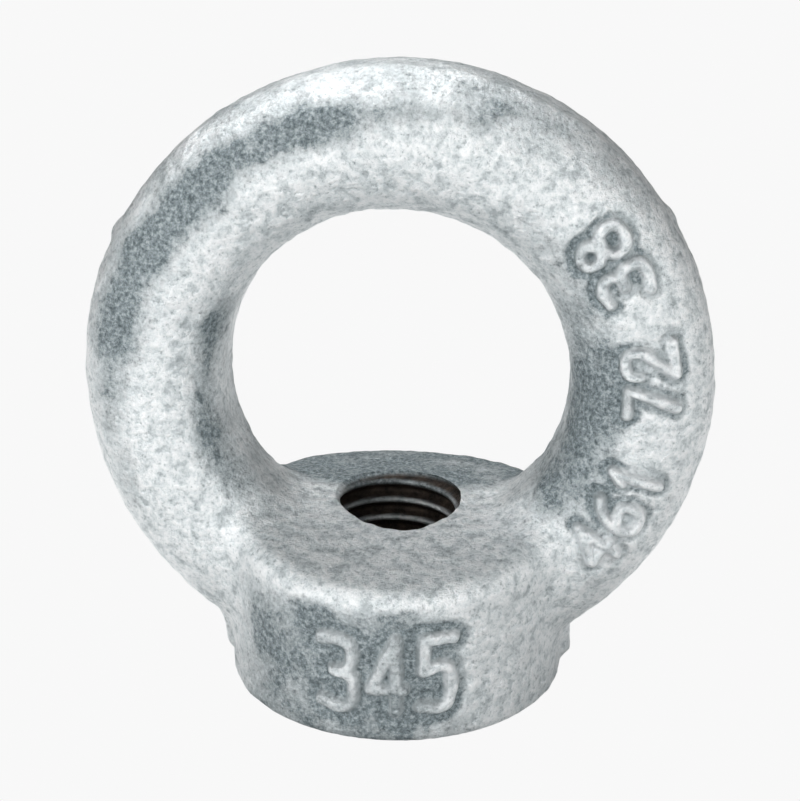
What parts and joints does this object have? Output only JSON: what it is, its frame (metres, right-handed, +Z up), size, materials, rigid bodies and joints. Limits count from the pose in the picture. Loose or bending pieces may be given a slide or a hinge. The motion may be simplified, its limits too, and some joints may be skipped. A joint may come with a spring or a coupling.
{
  "type": "lifting eye nut",
  "caption": "Forged steel lifting eye nut: a round eye on a short collar with a tapped through hole, hot-dip galvanised.",
  "frame": {"origin": "centre of the collar's seating face, on the thread axis", "axes": "+Z up along the thread axis, from the seating face through the collar to the top of the ring; the ring stands in the XZ plane, so the eye opens along Y"},
  "size_m": [0.045, 0.025, 0.0455],
  "materials": {
    "galvanised_steel": "hot-dip galvanised, matt and mottled"
  },
  "bodies": {
    "root": {"eye_nut": "galvanised_steel"}
  },
  "joints": []
}
